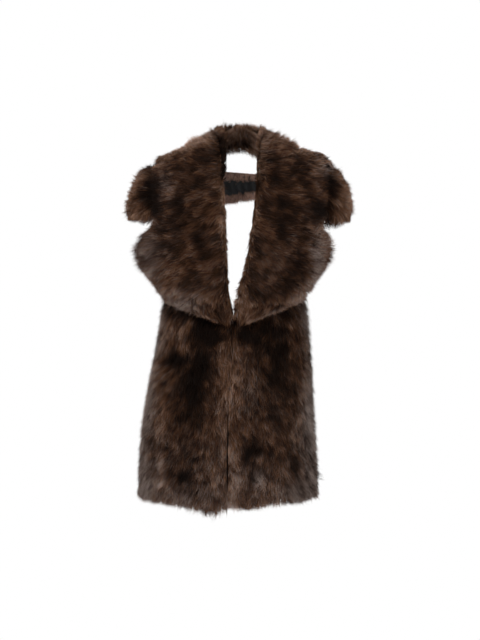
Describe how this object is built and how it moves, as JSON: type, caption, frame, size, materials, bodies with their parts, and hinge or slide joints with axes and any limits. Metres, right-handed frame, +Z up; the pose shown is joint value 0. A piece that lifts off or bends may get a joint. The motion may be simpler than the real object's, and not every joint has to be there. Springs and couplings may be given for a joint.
{
  "type": "faux fur vest",
  "caption": "Sleeveless hip-length faux fur vest with a wide shawl collar, capped shoulders and an open strapped back, in its hollow worn form.",
  "frame": {"origin": "Between the shoulders at the base of the neck, where the wearer carries the vest.", "axes": "+Z up the body, the front faces -Y, +X is the wearer's left."},
  "size_m": [0.468, 0.3004, 0.7842],
  "materials": {
    "fur": "long pile, soft sheen",
    "lining": "satin"
  },
  "bodies": {
    "root": {"front_right": "fur", "front_left": "fur", "back_right": "fur", "back_left": "fur", "cap_right": "fur", "cap_left": "fur", "collar_right": "fur", "collar_left": "fur", "collar_back": "fur", "back_strap": "fur", "strap_lining": "lining"}
  },
  "joints": []
}
